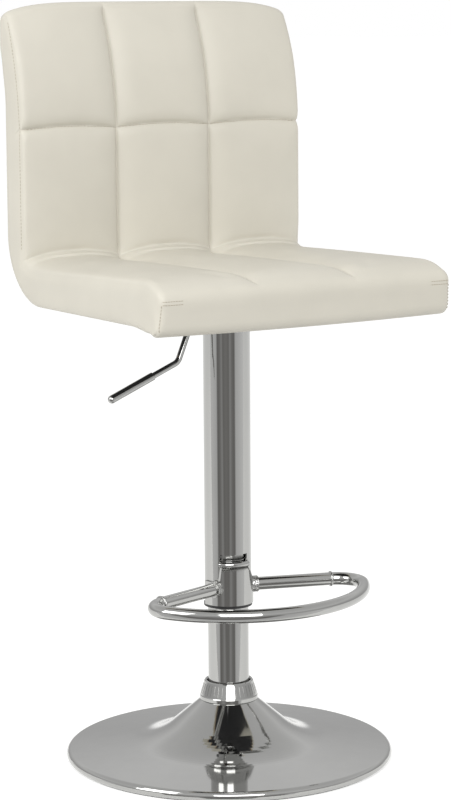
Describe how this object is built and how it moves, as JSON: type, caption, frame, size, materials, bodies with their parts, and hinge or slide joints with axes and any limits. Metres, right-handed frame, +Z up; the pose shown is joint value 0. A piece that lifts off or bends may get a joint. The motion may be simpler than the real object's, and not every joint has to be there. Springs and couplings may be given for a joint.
{
  "type": "adjustable swivel stool",
  "caption": "Bar stool with an L-shaped quilted seat, gas lift with side lever, chromed column, ring footrest and round trumpet base.",
  "frame": {"origin": "centre of the base on the floor", "axes": "+Z up the column, the sitter faces -Y, the lever is on the -X side"},
  "size_m": [0.4, 0.4, 0.9189],
  "materials": {
    "chrome": "polished chrome plate",
    "ballast": "black sealed casting",
    "rubber": "matte",
    "zinc_steel": "zinc plated",
    "black_steel": "satin black paint",
    "black_plastic": "satin",
    "plywood": "raw birch plywood",
    "ivory_leather": "soft faux leather, fine grain",
    "dust_cloth": "thin non-woven cloth"
  },
  "bodies": {
    "base": {"base_dish": "chrome", "ballast_plate": "ballast", "floor_ring": "rubber", "column_foot": "zinc_steel", "foot_bolts": "zinc_steel", "neck_collar": "chrome", "column_tube": "chrome", "guide_bush": "black_plastic", "bearing_lower_race": "zinc_steel"},
    "bearing": {"bearing_cage": "zinc_steel", "bearing_balls": "zinc_steel"},
    "rod": {"bearing_upper_race": "zinc_steel", "piston_rod": "chrome", "rod_clip": "zinc_steel", "bump_stop": "rubber", "piston": "zinc_steel", "piston_seal": "rubber"},
    "seat": {"pressure_tube": "black_steel", "rod_guide": "black_plastic", "valve_block": "zinc_steel", "cover_tube": "chrome", "cover_tube_bush": "black_plastic", "footrest_bow": "chrome", "footrest_bar_left": "chrome", "footrest_bar_right": "chrome", "footrest_saddle": "chrome", "footrest_welds": "chrome", "mount_plate": "black_steel", "plate_hub": "black_steel", "plate_bolts": "zinc_steel", "plate_washers": "zinc_steel", "tee_nuts": "zinc_steel", "lever_bracket": "black_steel", "lever_pin": "zinc_steel", "seat_shell": "plywood", "seat_pad": "ivory_leather", "back_pad": "ivory_leather", "rear_pad": "ivory_leather", "front_apron": "ivory_leather", "side_boxing_left": "ivory_leather", "side_boxing_right": "ivory_leather", "top_boxing": "ivory_leather", "dust_cover": "dust_cloth"},
    "lever": {"lever_rod": "chrome", "lever_handle": "chrome"},
    "valve": {"valve_pin": "chrome"}
  },
  "joints": [
    {"name": "swivel", "type": "hinge", "parent": "base", "child": "rod", "pos_m": [0, 0, 0.0185], "axis": [0, 0, 1], "continuous": true},
    {"name": "cage_turn", "type": "hinge", "parent": "base", "child": "bearing", "pos_m": [0, 0, 0.0185], "axis": [0, 0, 1], "continuous": true},
    {"name": "lift", "type": "slide", "parent": "rod", "child": "seat", "axis": [0, 0, 1], "range_m": [0, 0.21]},
    {"name": "lever_tilt", "type": "hinge", "parent": "seat", "child": "lever", "pos_m": [-0.034, 0, 0.544], "axis": [0, 1, 0], "range_deg": [0, 6], "stiffness_Nm_per_rad": 2, "springref_deg": -5.73},
    {"name": "valve_press", "type": "slide", "parent": "seat", "child": "valve", "axis": [0, 0, -1], "range_m": [0, 0.0039]}
  ],
  "couplings": [
    {"joint": "cage_turn", "follows": "swivel", "ratio": 0.5},
    {"joint": "valve_press", "follows": "lever_tilt", "m_per_rad": 0.037}
  ]
}
